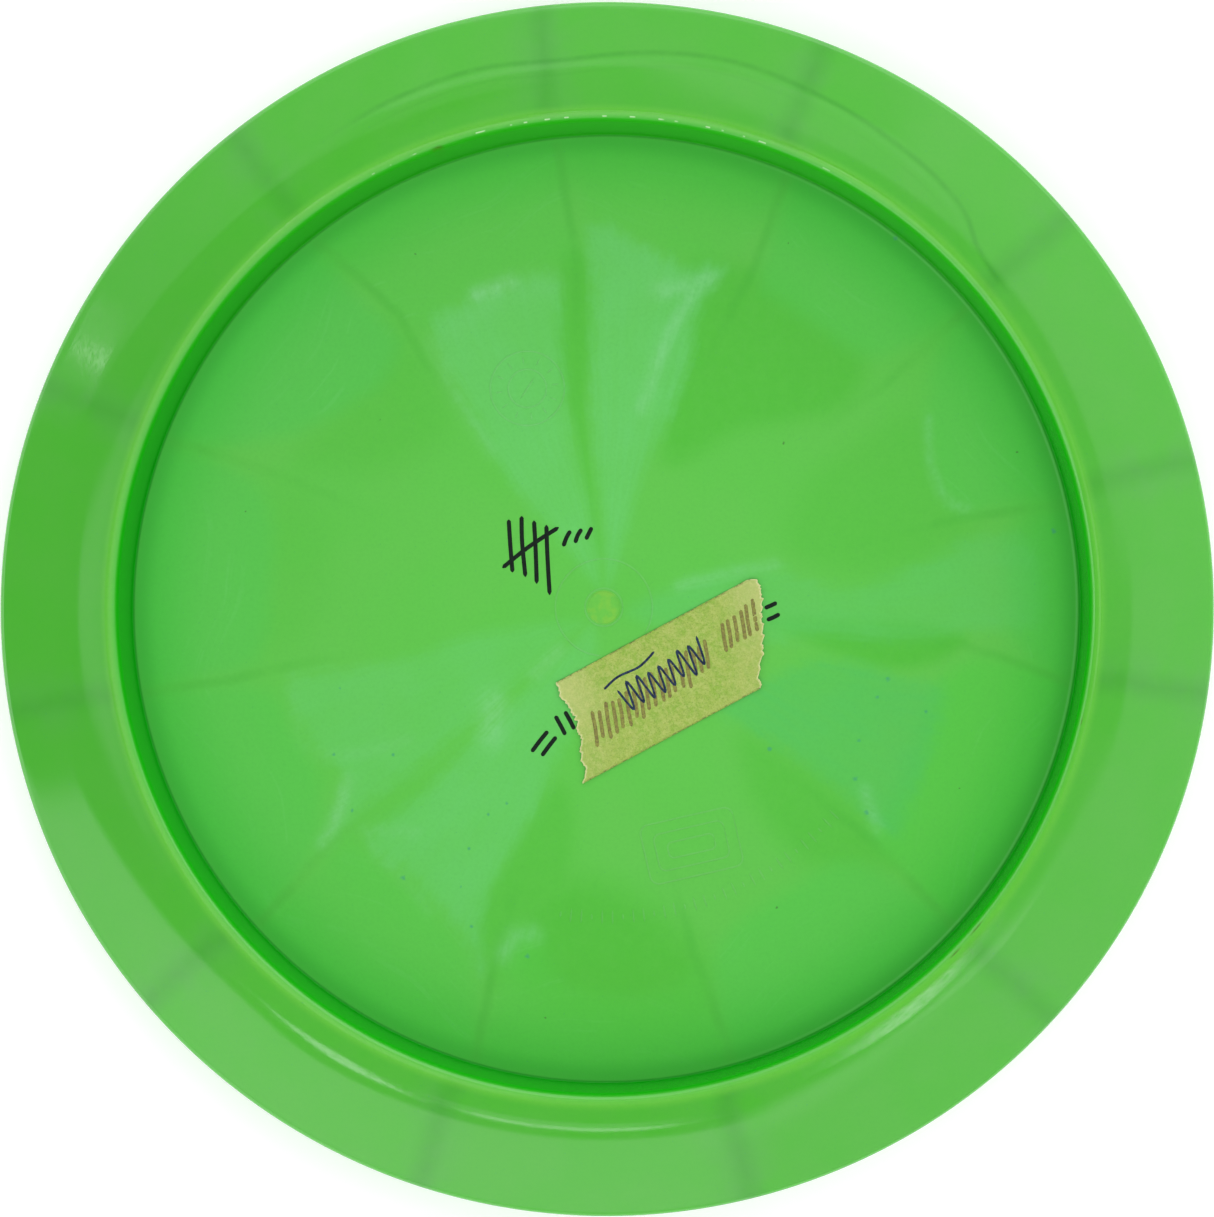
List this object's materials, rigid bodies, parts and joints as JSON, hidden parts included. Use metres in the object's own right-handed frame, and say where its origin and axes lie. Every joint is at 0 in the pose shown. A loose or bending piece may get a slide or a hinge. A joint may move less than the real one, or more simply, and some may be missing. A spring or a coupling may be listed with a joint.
{
  "type": "flying disc",
  "caption": "Golf flying disc with a domed flight plate and a wide sharp rim, shown underside up, with a torn strip of masking tape inside.",
  "frame": {"origin": "centre of the flat in the middle of the domed outer face, which the disc rests on when it lies upside down", "axes": "+Z is the disc's axis, pointing out of its open underside; +X and +Y lie across the disc, with the tape strip on the +X, -Y side"},
  "size_m": [0.211, 0.211, 0.0173],
  "materials": {
    "moulded_green_plastic": "satin",
    "crepe_masking_tape": "matte"
  },
  "bodies": {
    "root": {"disc_body": "moulded_green_plastic", "masking_tape_strip": "crepe_masking_tape"}
  },
  "joints": []
}
